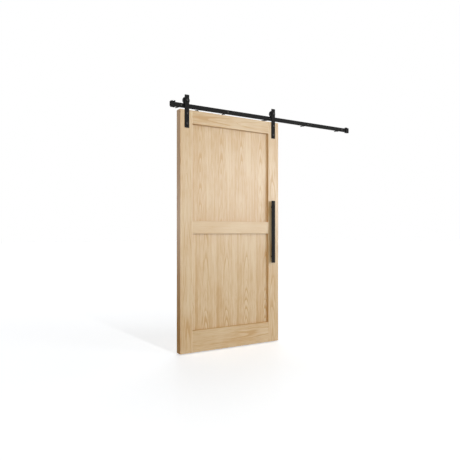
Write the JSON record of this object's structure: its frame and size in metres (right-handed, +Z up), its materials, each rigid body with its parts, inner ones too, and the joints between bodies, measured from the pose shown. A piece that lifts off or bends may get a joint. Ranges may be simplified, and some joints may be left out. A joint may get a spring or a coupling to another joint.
{
  "type": "sliding barn door",
  "caption": "Sliding oak barn door: framed leaf with flat recessed panels, hung by strap hangers and flanged wheels from a black flat-bar wall track with end stops, and a long flat pull handle.",
  "frame": {"origin": "centre of the wall face of the middle track spacer, on the axis of the middle track bolt", "axes": "+X along the track to the right as seen from the room, +Y from the room into the wall, +Z up"},
  "size_m": [2.134, 0.157, 2.264],
  "materials": {
    "oak_frame": "satin oiled oak",
    "oak_panel": "satin oiled oak veneer",
    "black_steel": "matt black powder coat",
    "wheel_nylon": "black nylon",
    "bumper_rubber": "black rubber"
  },
  "bodies": {
    "track": {"track_bar": "black_steel", "wall_spacer_1": "black_steel", "track_bolt_1": "black_steel", "wall_spacer_2": "black_steel", "track_bolt_2": "black_steel", "wall_spacer_3": "black_steel", "track_bolt_3": "black_steel", "wall_spacer_4": "black_steel", "track_bolt_4": "black_steel", "wall_spacer_5": "black_steel", "track_bolt_5": "black_steel", "left_end_stop": "black_steel", "left_stop_bumper": "bumper_rubber", "left_stop_screw": "black_steel", "right_end_stop": "black_steel", "right_stop_bumper": "bumper_rubber", "right_stop_screw": "black_steel"},
    "leaf": {"left_stile": "oak_frame", "right_stile": "oak_frame", "top_rail": "oak_frame", "mid_rail": "oak_frame", "bottom_rail": "oak_frame", "upper_panel": "oak_panel", "lower_panel": "oak_panel", "left_hanger_strap": "black_steel", "left_axle_bolt": "black_steel", "left_axle_nut": "black_steel", "left_axle_spacer": "black_steel", "left_strap_bolts": "black_steel", "left_strap_caps": "black_steel", "left_anti_jump_disc": "black_steel", "right_hanger_strap": "black_steel", "right_axle_bolt": "black_steel", "right_axle_nut": "black_steel", "right_axle_spacer": "black_steel", "right_strap_bolts": "black_steel", "right_strap_caps": "black_steel", "right_anti_jump_disc": "black_steel", "anti_jump_screws": "black_steel", "handle_bar": "black_steel", "handle_posts": "black_steel", "handle_bolts": "black_steel"},
    "left_wheel": {"left_wheel": "wheel_nylon"},
    "right_wheel": {"right_wheel": "wheel_nylon"}
  },
  "joints": [
    {"name": "leaf_slide", "type": "slide", "parent": "track", "child": "leaf", "axis": [1, 0, 0], "range_m": [-0.073, 0.954]},
    {"name": "left_wheel_spin", "type": "hinge", "parent": "leaf", "child": "left_wheel", "pos_m": [-0.91, -0.067, 0.048], "axis": [0, 1, 0], "continuous": true},
    {"name": "right_wheel_spin", "type": "hinge", "parent": "leaf", "child": "right_wheel", "pos_m": [0.029, -0.067, 0.048], "axis": [0, 1, 0], "continuous": true}
  ],
  "couplings": [
    {"joint": "left_wheel_spin", "follows": "leaf_slide", "rad_per_m": 35.714},
    {"joint": "right_wheel_spin", "follows": "leaf_slide", "rad_per_m": 35.714}
  ]
}
